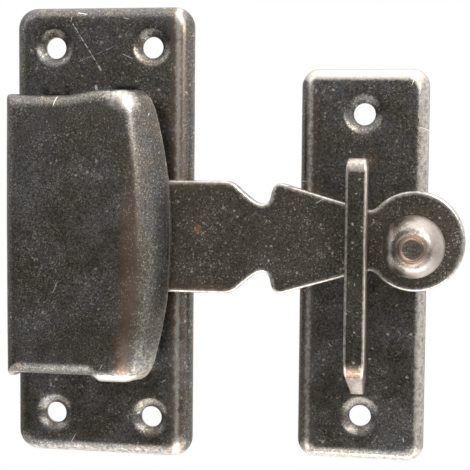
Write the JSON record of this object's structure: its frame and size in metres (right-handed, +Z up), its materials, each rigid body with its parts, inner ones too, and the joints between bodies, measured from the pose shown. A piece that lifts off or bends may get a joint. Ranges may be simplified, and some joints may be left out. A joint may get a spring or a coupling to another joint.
{
  "type": "lift latch",
  "caption": "Surface-mounted lift latch: a flat drop bar pivoted in a pressed box case, lifted by a turned knob out of an upright hook on a separate keeper plate.",
  "frame": {"origin": "on the door's face, behind the centre of the latch plate", "axes": "+Z up the door, +X from the latch towards its keeper, +Y into the door; the latch faces -Y"},
  "size_m": [0.0998, 0.0206, 0.1],
  "materials": {
    "plate_steel": "dark oxidised steel, satin, with pale specks and worn edges",
    "case_steel": "dark oxidised sheet steel, satin, rubbed copper-brown along the crest",
    "bar_steel": "dark oxidised steel with pale worn edges",
    "hook_steel": "dark oxidised steel, edges rubbed to bright metal",
    "knob_steel": "rubbed steel, glossy, brown in the recess",
    "rivet_steel": "plain steel, dull"
  },
  "bodies": {
    "latch": {"latch_plate": "plate_steel", "case_cover": "case_steel", "pivot_rivet": "rivet_steel", "pivot_spacer": "rivet_steel", "pivot_washer": "rivet_steel", "stop_pin": "rivet_steel"},
    "bar": {"latch_bar": "bar_steel", "knob": "knob_steel"},
    "keeper": {"keeper_plate": "plate_steel", "keeper_hook": "hook_steel"}
  },
  "joints": [
    {"name": "bar_pivot", "type": "hinge", "parent": "latch", "child": "bar", "pos_m": [-0.006, -0.0065, 0], "axis": [0, -1, 0], "range_deg": [0, 40]},
    {"name": "keeper_draw_off", "type": "slide", "parent": "latch", "child": "keeper", "axis": [0, 0, -1], "range_m": [0, 0.035]}
  ]
}
